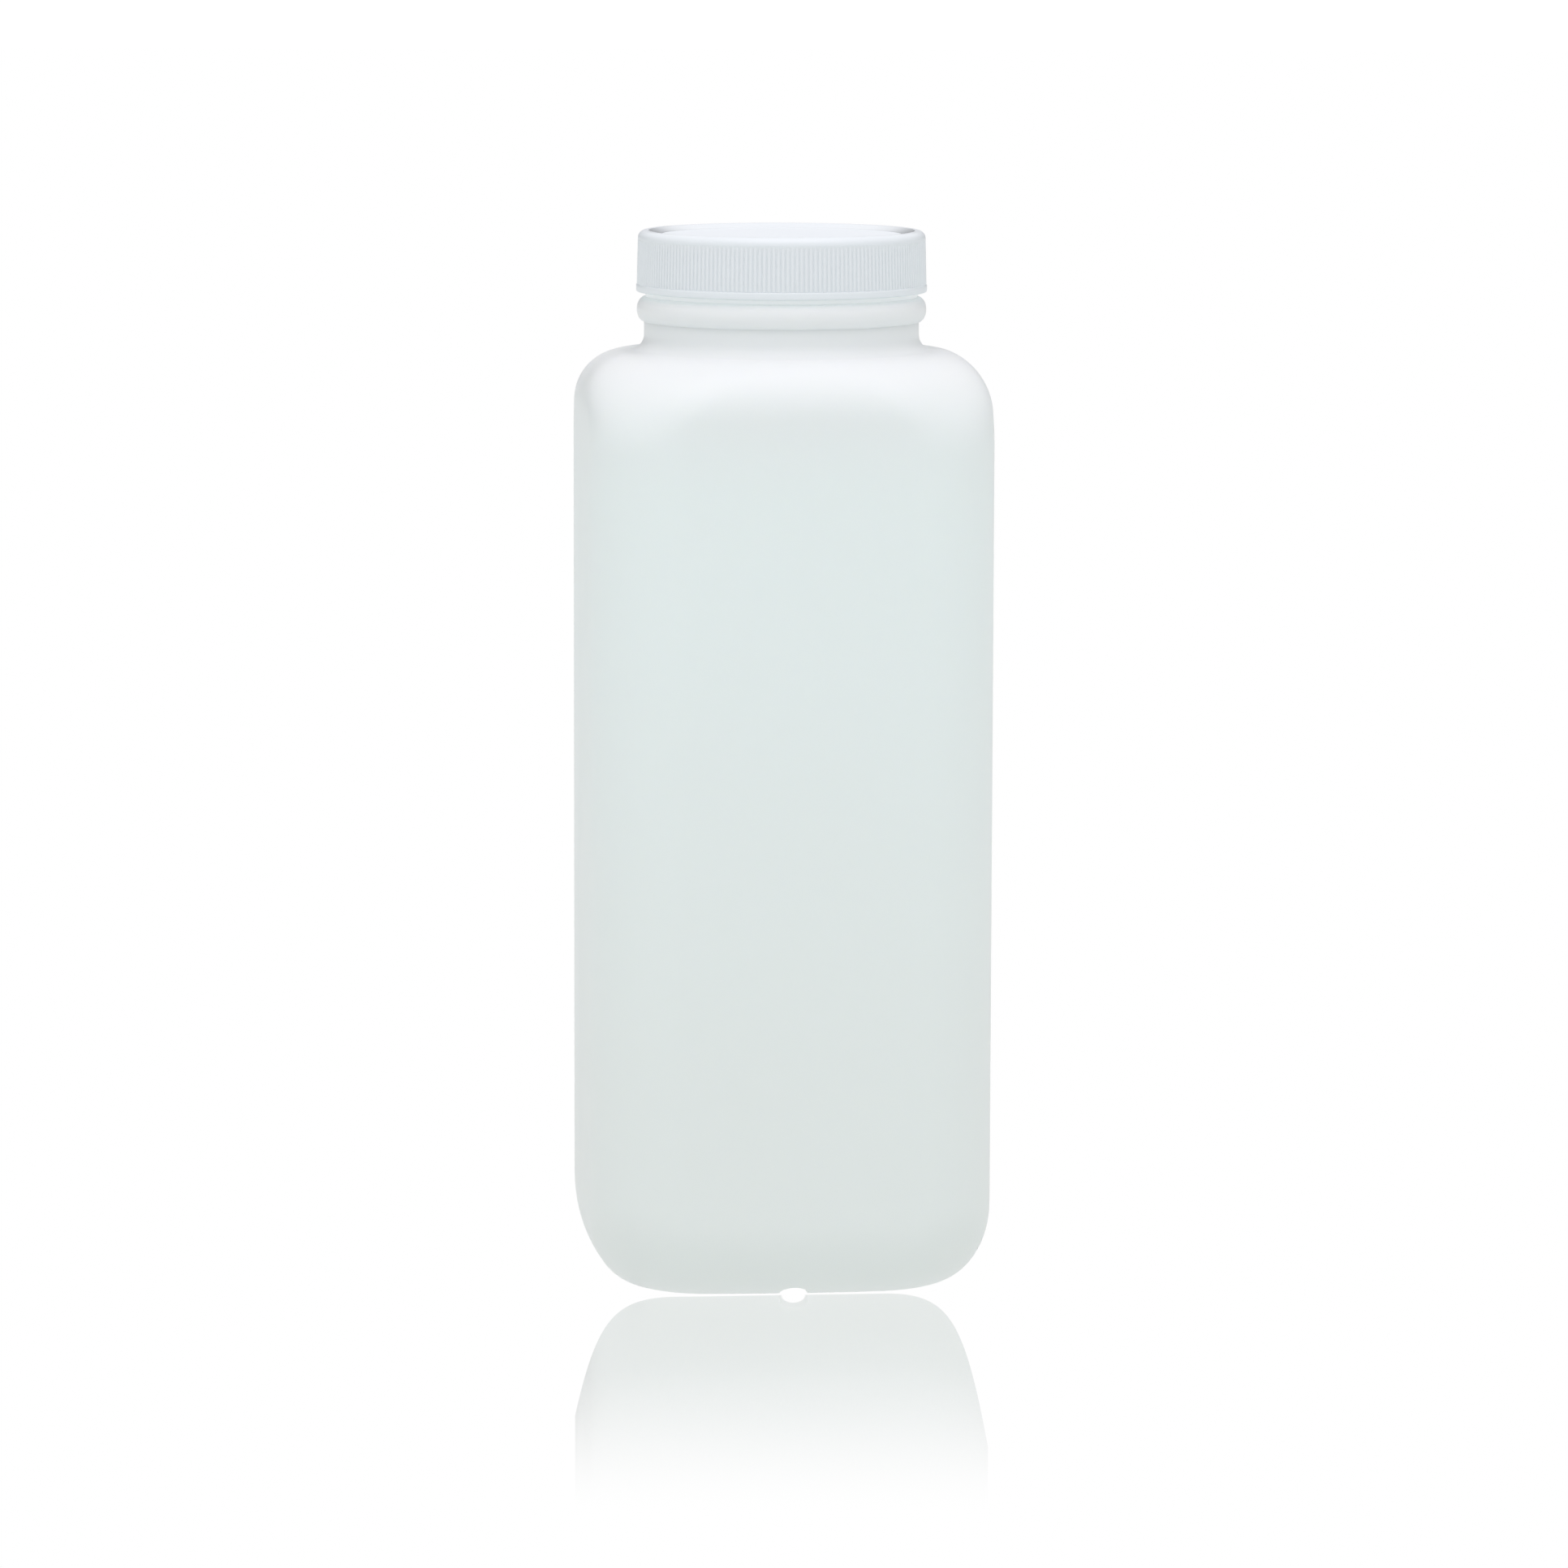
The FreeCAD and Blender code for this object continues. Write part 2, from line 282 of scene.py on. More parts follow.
@dataclass(frozen=True)
class FacingFilm:
    """Smooth pale film over the foam, with faint streaks from its drawing."""

    name: str = "facing_film"
    slot: str = "facing_film"
    colour: tuple = rgba(0.80, 0.81, 0.81)
    streak: tuple = rgba(0.86, 0.865, 0.87)
    drawing: tuple = (60.0, 900.0, 60.0)    # the streaks' scale along, across and through

    def make(self) -> bpy.types.Material:
        """Builds the material.

        Returns:
            The finished material.
        """
        material, nodes, place = new_material(self.name)
        drawn = nodes.add("ShaderNodeMapping", {"Vector": place, "Scale": self.drawing})
        streak = nodes.noise(drawn.outputs[0], 1.0, 3.0)
        colour = nodes.blend(streak, self.colour, self.streak)
        rough = nodes.spread(streak, 0.2, 0.32)
        bump = nodes.add("ShaderNodeBump", {"Strength": 0.1, "Distance": 0.0002, "Height": streak})
        shader = nodes.add("ShaderNodeBsdfPrincipled", {
            "Base Color": colour, "Roughness": rough, "Normal": bump.outputs[0], "IOR": 1.4})
        nodes.add("ShaderNodeOutputMaterial", {"Surface": shader.outputs[0]})
        return material


def finish_piece(name: str, mesh: bpy.types.Mesh, finish: object, body: str,
                 *replaced: str) -> bpy.types.Object:
    """Dresses a finished mesh and ties it to the frame.

    Args:
        name: the piece's name.
        mesh: its mesh, in metres, in the row frame.
        finish: the finish it wears.
        body: the CAD body that it rides on.
        replaced: the CAD nodes that it stands for.

    Returns:
        The piece's object.
    """
    piece = bpy.data.objects.new(name, mesh)
    bpy.context.scene.collection.objects.link(piece)
    mesh.materials.clear()
    mesh.materials.append(bpy.data.materials.get(finish.name) or finish.make())
    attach(piece, body)
    if replaced:
        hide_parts(*replaced)
    LOG.info("%s: %d faces on body %s", name, len(mesh.polygons), body)
    return piece


def closed_skin(name: str, rings: list[Ring], sharp: float = 32.0) -> bpy.types.Mesh:
    """Makes a closed mesh of rings with equal counts, with a pole at each end.

    Args:
        name: the mesh's name.
        rings: the rings in millimetres, from one pole to the other.
        sharp: degrees past which an edge is shaded sharp.

    Returns:
        The mesh, in metres, its faces pointing outwards.
    """
    count = len(rings[0])
    points = [Vector(point) * MM for ring in rings for point in ring]
    first, last = len(points), len(points) + 1
    for ring in (rings[0], rings[-1]):
        middle = Vector((0.0, 0.0, sum(point[2] for point in ring) / count))
        points.append(middle * MM)
    faces = []
    for row in range(len(rings) - 1):
        for i in range(count):
            j = (i + 1) % count
            faces.append((row * count + i, row * count + j, (row + 1) * count + j, (row + 1) * count + i))
    end = (len(rings) - 1) * count
    for i in range(count):
        j = (i + 1) % count
        faces.append((first, j, i))
        faces.append((last, end + i, end + j))
    mesh = bpy.data.meshes.new(name)
    mesh.from_pydata(points, [], faces)
    mesh.validate()
    smooth(mesh, sharp)
    return mesh


def closed_bar(name: str, rows: list[Ring], sharp: float) -> bpy.types.Mesh:
    """Makes a closed mesh of sections with equal counts, with a flat face at each end.

    Args:
        name: the mesh's name.
        rows: the sections in millimetres, from one end to the other.
        sharp: degrees past which an edge is shaded sharp.

    Returns:
        The mesh, in metres, its faces pointing outwards.
    """
    count = len(rows[0])
    faces = []
    for near in range(0, (len(rows) - 1) * count, count):
        for i in range(count):
            j = (i + 1) % count
            faces.append((near + i, near + j, near + count + j, near + count + i))
    faces.append(tuple(reversed(range(count))))
    faces.append(tuple(range((len(rows) - 1) * count, len(rows) * count)))
    mesh = bpy.data.meshes.new(name)
    mesh.from_pydata([Vector(point) * MM for row in rows for point in row], [], faces)
    smooth(mesh, sharp)
    return mesh


def smooth(mesh: bpy.types.Mesh, sharp: float) -> None:
    """Shades a mesh smooth, save at edges past an angle in degrees."""
    mesh.shade_smooth()
    mesh.set_sharp_from_angle(angle=math.radians(sharp))
    mesh.update()


def arc(centre: tuple[float, float], across: float, up: float,
        start: float, end: float, count: int) -> list[tuple[float, float]]:
    """Gives points on an elliptic arc in a turned profile.

    Args:
        centre: radius and level of its centre.
        across: its half axis along the radius.
        up: its half axis along the level.
        start: the first angle, in degrees.
        end: the last angle, in degrees.
        count: how many steps.

    Returns:
        Radius and level of each point.
    """
    points = []
    for i in range(count + 1):
        angle = math.radians(start + (end - start) * i / count)
        points.append((centre[0] + across * math.cos(angle), centre[1] + up * math.sin(angle)))
    return points


def line(start: tuple[float, float], end: tuple[float, float], count: int) -> list[tuple[float, float]]:
    """Gives points along a straight stretch of a profile, without its first one."""
    return [(start[0] + (end[0] - start[0]) * i / count, start[1] + (end[1] - start[1]) * i / count)
            for i in range(1, count + 1)]


def profile(*steps: tuple) -> list[tuple[float, float]]:
    """Joins corners and lists of points into one profile, without repeated points."""
    points: list[tuple[float, float]] = []
    for step in steps:
        for point in (step if isinstance(step, list) else [step]):
            if not points or math.dist(points[-1], point) > 1e-6:
                points.append(point)
    return points


@dataclass(frozen=True)
class ScrewThread:
    """A right-hand thread, as the height that it adds to a plain wall."""

    level: float            # middle of its lower end
    start_turn: float       # share of a turn at which its lower end stands
    turns: float
    pitch: float = 25.4 / 6
    depth: float = 1.18
    crest: float = 1.0      # width of its crest
    flank: float = 30.0     # degrees from square to the axis
    fade: float = 4 / 36    # share of a turn over which an end rises
    blunt: float = 0.15     # share of the depth with which an end begins

    def height(self, turn: float, level: float) -> float:
        """Gives the thread's height over the wall.

        Args:
            turn: where round the axis, as a share of a turn.
            level: height above the base.

        Returns:
            The height, which is 0 away from the thread.
        """
        best = 0.0
        around = (turn - self.start_turn) % 1.0
        while around <= self.turns:
            share = min(1.0, min(around, self.turns - around) / self.fade + self.blunt)
            away = abs(level - self.level - self.pitch * around) - self.crest / 2
            drop = max(0.0, away) / math.tan(math.radians(self.flank))
            best = max(best, self.depth * share - drop)
            around += 1.0
        return best


@dataclass(frozen=True)
class CrownedSquare:
    """Level sections of the body: a square of tangent arcs with slightly crowned sides."""

    tilt: float = 4.5       # degrees that a side has turned where a corner begins
    corner_steps: int = 30
    side_places: tuple = (0.01, 0.025, 0.04, 0.055, 0.07, 0.085, 0.1, 0.115, 0.13, 0.145, 0.16, 0.175,
                          0.2, 0.24, 0.3, 0.4, 0.55, 0.75, 1.0)

    def diagonal(self, half: float, corner: float) -> float:
        """Gives the half width to a corner from that to a side and the corner's radius."""
        tilt = math.radians(self.tilt)
        lean = 1 - math.cos(tilt) + math.sin(tilt)
        side = (half - corner * (math.cos(tilt) - math.sin(tilt))) / lean
        return math.sqrt(2) * (side - corner) * math.sin(tilt) + corner

    def ring(self, half: float, diagonal: float, level: float) -> Ring:
        """Gives one section's points.

        Args:
            half: half width to a side.
            diagonal: half width to a corner.
            level: height above the base.

        Returns:
            The points, from the middle of the +X side round to it again.
        """
        tilt = math.radians(self.tilt)
        lean = 1 - math.cos(tilt) + math.sin(tilt)
        skew = (math.cos(tilt) - math.sin(tilt)) / lean
        to_corner = math.sqrt(2) * math.sin(tilt)
        corner = (diagonal - to_corner * half / lean) / (1 - to_corner * (skew + 1))
        side = half / lean - corner * skew
        centre = (side - corner) * math.sin(tilt)
        quarter = [(half, 0.0)]
        for share in self.side_places:
            angle = tilt * share
            quarter.append((half - side + side * math.cos(angle), side * math.sin(angle)))
        for i in range(1, self.corner_steps):
            angle = tilt + (math.pi / 2 - 2 * tilt) * i / self.corner_steps
            quarter.append((centre + corner * math.cos(angle), centre + corner * math.sin(angle)))
        for share in reversed(self.side_places):
            angle = math.pi / 2 - tilt * share
            quarter.append((side * math.cos(angle), half - side + side * math.sin(angle)))
        points: Ring = []
        for x, y in quarter:
            points.append((x, y, level))
        for _ in range(3):
            points += [(-y, x, level) for x, y, _ in points[-len(quarter):]]
        return points


def bowed(near: float, far: float, share: float) -> float:
    """Follows an elliptic arc from near to far as share goes from 0 to 1, turning off at the end."""
    return near + (far - near) * (1 - math.sqrt(max(0.0, 1 - share * share)))


@dataclass
class BottleBody:
    """The blown bottle, from the hollow under its base to its threaded neck and back down inside."""

    half_width: float = field(default_factory=lambda: in_mm("bottle")[1].x - 0.05)
    rim: float = field(default_factory=lambda: in_mm("bottle")[1].z)
    section: CrownedSquare = CrownedSquare()
    body_corner: float = 17.0
    base_corner: float = 13.0
    heel_width: float = 11.0
    heel_height: float = 15.4
    heel_corner_rise: float = 3.0
    shoulder_height: float = 10.5
    shoulder_corner_drop: float = 7.0
    wall: float = 1.15
    base_wall: float = 1.6
    ring_width: float = 6.5
    hollow_depth: float = 2.2
    hollow_slope: float = 4.0
    hollow_corner: float = 9.0
    notch_width: float = 5.3
    notch_height: float = 1.9
    seam_width: float = 0.9
    seam_height: float = 0.5
    neck_radius: float = 26.405
    neck_fillet: float = 3.0
    neck_length: float = 7.9
    shoulder_land: float = 0.3
    bead_drop: float = 11.8
    bead_height: float = 4.7
    bead_projection: float = 1.4
    collar_radius: float = 26.105
    collar_height: float = 4.0
    thread_root: float = 24.855
    thread_start: float = 1.5
    thread_turns: float = 1.25
    mouth_radius: float = 22.5
    rim_round: float = 0.5

    def thread(self) -> ScrewThread:
        """Gives the neck's thread."""
        plain = ScrewThread(0.0, 0.0, self.thread_turns)
        level = self.rim - self.thread_start - self.thread_turns * plain.pitch
        return ScrewThread(level, 0.0, self.thread_turns)

    def wall_top(self) -> float:
        """Gives the level at which the side walls end."""
        return self.rim - self.bead_drop - self.neck_length - self.shoulder_height

    def heel(self, skin: Wall, count: int) -> list[Ring]:
        """Gives the sections up the heel.

        Args:
            skin: which skin of the wall.
            count: how many steps.

        Returns:
            The rings from the standing ring or the inside floor up to the side walls.
        """
        inset = self.wall if skin is Wall.INNER else 0.0
        floor = self.base_wall if skin is Wall.INNER else 0.0
        top = self.heel_height + self.heel_corner_rise
        base = self.half_width - self.heel_width
        foot = self.section.diagonal(base, self.base_corner)
        wide = self.section.diagonal(self.half_width - inset, self.body_corner - inset)
        rings = []
        for i in range(count + 1):
            level = floor + (top - floor) * (1 - math.cos(math.pi / 2 * i / count))
            to_side = max(0.0, (self.heel_height - level) / (self.heel_height - floor))
            half = bowed(self.half_width - inset, base, to_side)
            rings.append(self.section.ring(half, bowed(wide, foot, (top - level) / (top - floor)), level))
        return rings

    def side_walls(self, skin: Wall, count: int) -> list[Ring]:
        """Gives the sections between the heel and the shoulder, without either's own."""
        inset = self.wall if skin is Wall.INNER else 0.0
        half = self.half_width - inset
        wide = self.section.diagonal(half, self.body_corner - inset)
        low = self.heel_height + self.heel_corner_rise
        high = self.wall_top() - self.shoulder_corner_drop
        return [self.section.ring(half, wide, low + (high - low) * i / count) for i in range(1, count)]

    def shoulder(self, skin: Wall, end_radius: float, rise: float, count: int) -> list[Ring]:
        """Gives the sections over the shoulder.

        Args:
            skin: which skin of the wall.
            end_radius: the round section's radius at its top.
            rise: how far it rises above the side walls.
            count: how many steps.

        Returns:
            The rings from the side walls up.
        """
        inset = self.wall if skin is Wall.INNER else 0.0
        widest = self.half_width - inset
        wide = self.section.diagonal(widest, self.body_corner - inset)
        start = self.wall_top() - self.shoulder_corner_drop
        height = self.shoulder_corner_drop + rise
        rings = []
        for i in range(count + 1):
            share = math.sin(math.pi / 2 * i / count)
            level = start + height * share
            half = bowed(widest, end_radius, max(0.0, (level - self.wall_top()) / rise))
            rings.append(self.section.ring(half, bowed(wide, end_radius, share), level))
        return rings

    def under_base(self, inset: float, floor: float, count: int) -> list[Ring]:
        """Gives the sections of the hollow under the base, from its middle out to its edge."""
        outer = self.half_width - self.heel_width - self.ring_width + inset
        depth = self.hollow_depth + floor
        rings = []
        flat = outer - self.hollow_slope
        for share in (0.04, 0.15, 0.3, 0.5, 0.7, 0.85, 0.95):
            corner = self.hollow_corner * share
            rings.append(self.section.ring(flat * share, self.section.diagonal(flat * share, corner), depth))
        for i in range(count + 1):
            angle = math.pi / 2 * (1 - i / count)
            half = outer - self.hollow_slope * (1 - math.cos(angle))
            diagonal = self.section.diagonal(half, self.hollow_corner)
            rings.append(self.section.ring(half, diagonal, floor + self.hollow_depth * math.sin(angle)))
        return rings

    def standing_ring(self, inset: float, floor: float, count: int) -> list[Ring]:
        """Gives the flat sections between the hollow's edge and the heel, without either's own."""
        inner = self.half_width - self.heel_width - self.ring_width + inset
        outer = self.half_width - self.heel_width
        near = self.section.diagonal(inner, self.hollow_corner)
        far = self.section.diagonal(outer, self.base_corner)
        rings = []
        for i in range(1, count):
            share = i / count
            half = inner + (outer - inner) * share
            rings.append(self.section.ring(half, near + (far - near) * share, floor))
        return rings

    def neck_profile(self) -> list[tuple[float, float]]:
        """Gives radius and level from the shoulder's top up the neck, over the rim and down the bore."""
        bead = self.rim - self.bead_drop
        foot = self.neck_radius + self.neck_fillet
        shoulder_top = bead - self.neck_length
        bead_foot = (self.neck_radius, bead - self.bead_height / 2)
        bead_head = (self.collar_radius, bead + self.bead_height / 2)
        collar_top = bead + self.collar_height
        floor = collar_top + self.collar_radius - self.thread_root
        outer_edge = (self.thread_root - self.rim_round, self.rim - self.rim_round)
        inner_edge = (self.mouth_radius + self.rim_round, self.rim - self.rim_round)
        half = self.bead_height / 2
        upper = self.neck_radius + self.bead_projection - self.collar_radius
        return profile(
            arc((foot, shoulder_top + self.neck_fillet), self.neck_fillet, self.neck_fillet, 270, 180, 10),
            line((self.neck_radius, shoulder_top + self.neck_fillet), bead_foot, 3),
            arc((self.neck_radius, bead), self.bead_projection, half, -90, 0, 9),
            arc((self.collar_radius, bead), upper, half, 0, 90, 9),
            line(bead_head, (self.collar_radius, collar_top), 3),
            line((self.collar_radius, collar_top), (self.thread_root, floor), 6),
            line((self.thread_root, floor), (self.thread_root, self.rim - self.rim_round), 30),
            arc(outer_edge, self.rim_round, self.rim_round, 0, 90, 4),
            line((self.thread_root - self.rim_round, self.rim),
                 (self.mouth_radius + self.rim_round, self.rim), 2),
            arc(inner_edge, self.rim_round, self.rim_round, 90, 180, 4),
            line((self.mouth_radius, self.rim - self.rim_round),
                 (self.mouth_radius, self.wall_top() + self.shoulder_height - self.wall + 0.4), 12),
            (self.mouth_radius + 0.3, self.wall_top() + self.shoulder_height - self.wall + 0.1))

    def round_ring(self, radius: float, level: float, thread: ScrewThread | None) -> Ring:
        """Gives a round section, raised where the thread runs over it."""
        points: Ring = []
        for x, y, _ in self.section.ring(radius, radius, level):
            length = math.hypot(x, y)
            reach = radius
            if thread:
                turn = math.atan2(y, x) / (2 * math.pi)
                reach = max(radius, self.thread_root + thread.height(turn, level))
            points.append((x * reach / length, y * reach / length, level))
        return points

    def notched(self, ring: Ring, inset: float, floor: float) -> Ring:
        """Lifts a section's points out of the groove across the base.

        Args:
            ring: the section.
            inset: how much wider the groove is than outside.
            floor: how much higher it is than outside.

        Returns:
            The section, with the groove's arch in it.
        """
        half = self.notch_width / 2 + inset
        height = self.notch_height + floor
        spring = height / 3
        points: Ring = []
        for x, y, level in ring:
            if abs(x) < half:
                arch = spring + (height - spring) * math.sqrt(1 - (x / half) ** 2)
                level = max(level, arch)
            points.append((x, y, level))
        return points

    def rings(self) -> list[Ring]:
        """Gives every section, from the middle of the underside to the middle of the inside floor."""
        bead = self.rim - self.bead_drop
        outside = self.under_base(0.0, 0.0, 8) + self.standing_ring(0.0, 0.0, 5)
        outside += self.heel(Wall.OUTER, 30)
        outside = [self.notched(ring, 0.0, 0.0) for ring in outside]
        outside += self.side_walls(Wall.OUTER, 22)
        land = self.neck_radius + self.neck_fillet + self.shoulder_land
        outside += self.shoulder(Wall.OUTER, land, self.shoulder_height, 26)
        thread = self.thread()
        neck = []
        for radius, level in self.neck_profile():
            outer = radius > self.mouth_radius + self.rim_round and level > bead
            neck.append(self.round_ring(radius, level, thread if outer else None))
        inside = self.under_base(self.wall, self.base_wall, 8)
        inside += self.standing_ring(self.wall, self.base_wall, 5) + self.heel(Wall.INNER, 20)
        inside = [self.notched(ring, self.wall, self.base_wall) for ring in inside]
        inside += self.side_walls(Wall.INNER, 10)
        inside += self.shoulder(Wall.INNER, self.mouth_radius + 1.0, self.shoulder_height - self.wall, 14)
        return outside + neck + inside[::-1]

    def seam(self) -> bpy.types.Mesh:
        """Makes the weld under the base where the mould pinched the tube off, a low rounded bar.

        Returns:
            The mesh, in metres.
        """
        half = self.half_width - self.heel_width - self.ring_width - self.hollow_slope
        across = [(0.5, 0.3), (0.46, -0.55), (0.3, -0.9), (0.0, -1.0)]
        across += [(-x, z) for x, z in reversed(across[:3])]
        rows: list[Ring] = []
        steps = 32
        for step in range(steps + 1):
            share = 2 * step / steps - 1
            rise = math.sqrt(1 - abs(share) ** 8)
            wander = 1 + 0.12 * math.sin(11 * share) + 0.07 * math.sin(27 * share + 1)
            row: Ring = []
            for x, z in across:
                down = self.seam_height * z * (rise * wander if z < 0 else 1.0)
                row.append((x * self.seam_width, share * half, self.hollow_depth + down))
            rows.append(row)
        return closed_bar("pinch_off_seam", rows, 50.0)

    def build(self) -> None:
        """Makes the bottle's pieces and dresses them."""
        finish = NaturalPolyethylene()
        finish_piece("bottle_body", closed_skin("bottle_body", self.rings()), finish, "bottle", "bottle")
        finish_piece("pinch_off_seam", self.seam(), finish, "bottle")


@dataclass
class ScrewCap:
    """The ribbed cap: a turned shell with its inside thread, and the ribs round its skirt."""

    top: float = field(default_factory=lambda: in_mm("cap")[1].z)
    edge: float = field(default_factory=lambda: in_mm("cap")[0].z)
    underside: float = field(default_factory=lambda: in_mm("liner_foam")[1].z)
    band_radius: float = field(default_factory=lambda: in_mm("cap")[1].x)
    band_projection: float = 0.11
    band_height: float = 1.4
    skirt_draft: float = 0.21
    skirt_inner: float = 26.275
    rib_count: int = 196
    rib_depth: float = 0.22
    rib_share: float = 0.8
    rib_run_out: float = 1.1    # height over which the ribs sink into the rounded edge
    crest_height: float = 0.9
    crest_round: float = 1.5
    crest_flat: float = 0.4
    crest_slope: float = 2.6
    thread_crest_radius: float = 25.095
    thread_crest: float = 0.7
    flank_clearance: float = 0.08
    columns: int = 196

    def tip_radius(self, level: float) -> float:
        """Gives the radius over the rib tips at a level."""
        low = self.edge + self.band_height
        round_level = self.top - self.crest_round
        top_tip = self.band_radius - self.band_projection - self.skirt_draft
        if level <= round_level:
            return top_tip + self.skirt_draft * (round_level - level) / (round_level - low)
        rise = level - round_level
        return top_tip - self.crest_round + math.sqrt(max(0.0, self.crest_round ** 2 - rise * rise))

    def thread(self, bottle: BottleBody) -> ScrewThread:
        """Gives the cap's thread, which lies under the bottle's on the same helix."""
        mate = bottle.thread()
        depth = self.skirt_inner - self.thread_crest_radius
        overlap = bottle.thread_root + mate.depth - self.thread_crest_radius
        drop = (mate.crest + self.thread_crest) / 2 + self.flank_clearance
        drop += overlap * math.tan(math.radians(mate.flank))
        floor = bottle.rim - bottle.bead_drop + bottle.collar_height
        level = floor + bottle.collar_radius - bottle.thread_root + 0.05 + self.thread_crest / 2
        start = (level - (mate.level - drop)) / mate.pitch
        steps = math.floor((bottle.rim - 1.15 - level) / mate.pitch * 36)
        return ScrewThread(level, start % 1.0, steps / 36, depth=depth, crest=self.thread_crest)

    def shell_profile(self) -> list[tuple[float, float]]:
        """Gives radius and level from the top's middle out, down the skirt and back up inside."""
        slope_top = self.tip_radius(self.top - self.crest_round) - self.crest_round - self.crest_flat
        panel = self.top - self.crest_height
        slope_foot = slope_top - self.crest_slope
        band_top = self.edge + self.band_height
        round_level = self.top - self.crest_round
        top_tip = self.tip_radius(round_level)
        valley_top = self.tip_radius(round_level - self.rib_run_out) - self.rib_depth
        valley_foot = self.tip_radius(band_top) - self.rib_depth
        band = self.band_radius
        return profile(
            line((1.0, panel), (slope_foot - 0.9, panel), 8),
            (slope_foot - 0.45, panel + 0.03), (slope_foot, panel + 0.09),
            line((slope_foot, panel + 0.09), (slope_top - 0.3, self.top - 0.09), 5),
            (slope_top - 0.1, self.top - 0.03), (slope_top + 0.12, self.top),
            arc((top_tip - self.crest_round, round_level), self.crest_round, self.crest_round, 90, 0, 10),
            (top_tip - 0.02, round_level - 0.25 * self.rib_run_out),
            (top_tip - 0.5 * self.rib_depth, round_level - 0.6 * self.rib_run_out),
            line((valley_top, round_level - self.rib_run_out), (valley_foot, band_top + 0.05), 8),
            (valley_foot + 0.04, band_top), (band - 0.14, band_top), (band - 0.05, band_top - 0.05),
            (band, band_top - 0.16),
            line((band, band_top - 0.16), (band, self.edge + 0.25), 3),
            (band - 0.07, self.edge + 0.08), (band - 0.25, self.edge),
            (self.skirt_inner + 0.25, self.edge), (self.skirt_inner + 0.07, self.edge + 0.07),
            (self.skirt_inner, self.edge + 0.25),
            line((self.skirt_inner, self.edge + 0.25), (self.skirt_inner, self.underside - 0.3), 44),
            (self.skirt_inner - 0.09, self.underside - 0.09), (self.skirt_inner - 0.3, self.underside),
            line((self.skirt_inner - 0.3, self.underside), (1.0, self.underside), 6))

    def shell(self, bottle: BottleBody) -> bpy.types.Mesh:
        """Makes the plain shell with the thread raised inside it.

        Args:
            bottle: the bottle that the thread mates with.

        Returns:
            The mesh, in metres.
        """
        thread = self.thread(bottle)
        rings = []
        for radius, level in self.shell_profile():
            ring: Ring = []
            for i in range(self.columns):
                turn = i / self.columns
                reach = radius
                if abs(radius - self.skirt_inner) < 1e-6:
                    reach = radius - thread.height(turn, level)
                angle = 2 * math.pi * turn
                ring.append((reach * math.cos(angle), reach * math.sin(angle), level))
            rings.append(ring)
        return closed_skin("cap_shell", rings[::-1], 28.0)

    def one_rib(self) -> bpy.types.Mesh:
        """Makes a single rib on the +X side, rounded across, its upper end inside the rounded edge.

        Returns:
            The rib's mesh, in metres.
        """
        low = self.edge + self.band_height
        round_level = self.top - self.crest_round
        valley_top = self.tip_radius(round_level) - self.rib_depth
        half_angle = math.pi / self.rib_count * self.rib_share
        across = [(-1.0, -0.15), (-0.92, 0.35), (-0.6, 0.82), (0.0, 1.0)]
        across += [(-turn, height) for turn, height in reversed(across[:3])]
        levels = [(low - 0.05, 0.55), (low + 0.06, 0.86), (low + 0.22, 1.0)]
        levels += [(low + 0.22 + (round_level - low - 0.22) * i / 3, 1.0) for i in range(1, 4)]
        levels[-1] = (round_level - 0.1, 0.97)
        rows: list[Ring] = []
        for level, fullness in levels:
            tip = self.tip_radius(max(level, low))
            share = min(1.0, (level - low) / (round_level - low))
            valley = self.tip_radius(low) - self.rib_depth
            valley += (valley_top - valley) * max(0.0, share)
            row: Ring = []
            for turn, height in across:
                radius = valley + (tip - valley) * fullness * height
                angle = half_angle * turn
                row.append((radius * math.cos(angle), radius * math.sin(angle), level))
            rows.append(row)
        return closed_bar("one_rib", rows, 60.0)

    def ribs(self, material: bpy.types.Material) -> bpy.types.Mesh:
        """Repeats the rib round the skirt with Geometry Nodes.

        Args:
            material: the material that the ribs wear.

        Returns:
            The plain mesh of all the ribs, in metres.
        """
        rib = bpy.data.objects.new("rib_source", self.one_rib())
        bpy.context.scene.collection.objects.link(rib)
        tree = ring_of_copies()
        modifier = rib.modifiers.new("ribs", "NODES")
        modifier.node_group = tree
        sockets = {item.name: item.identifier for item in tree.interface.items_tree
                   if getattr(item, "in_out", "") == "INPUT"}
        modifier[sockets["Count"]] = self.rib_count
        modifier[sockets["Turn offset"]] = 0.5
        modifier[sockets["Material"]] = material
        ready = rib.evaluated_get(bpy.context.evaluated_depsgraph_get())
        mesh = bpy.data.meshes.new_from_object(ready)
        mesh.name = "cap_ribs"
        rib.modifiers.remove(modifier)
        bpy.data.objects.remove(rib)
        return mesh

    def build(self, bottle: BottleBody) -> None:
        """Makes the cap's pieces and dresses them.

        Args:
            bottle: the bottle that the cap screws on to.
        """
        finish = WhitePolypropylene()
        finish_piece("cap_shell", self.shell(bottle), finish, "cap", "cap")
        material = bpy.data.materials[finish.name]
        finish_piece("cap_ribs", self.ribs(material), finish, "cap")


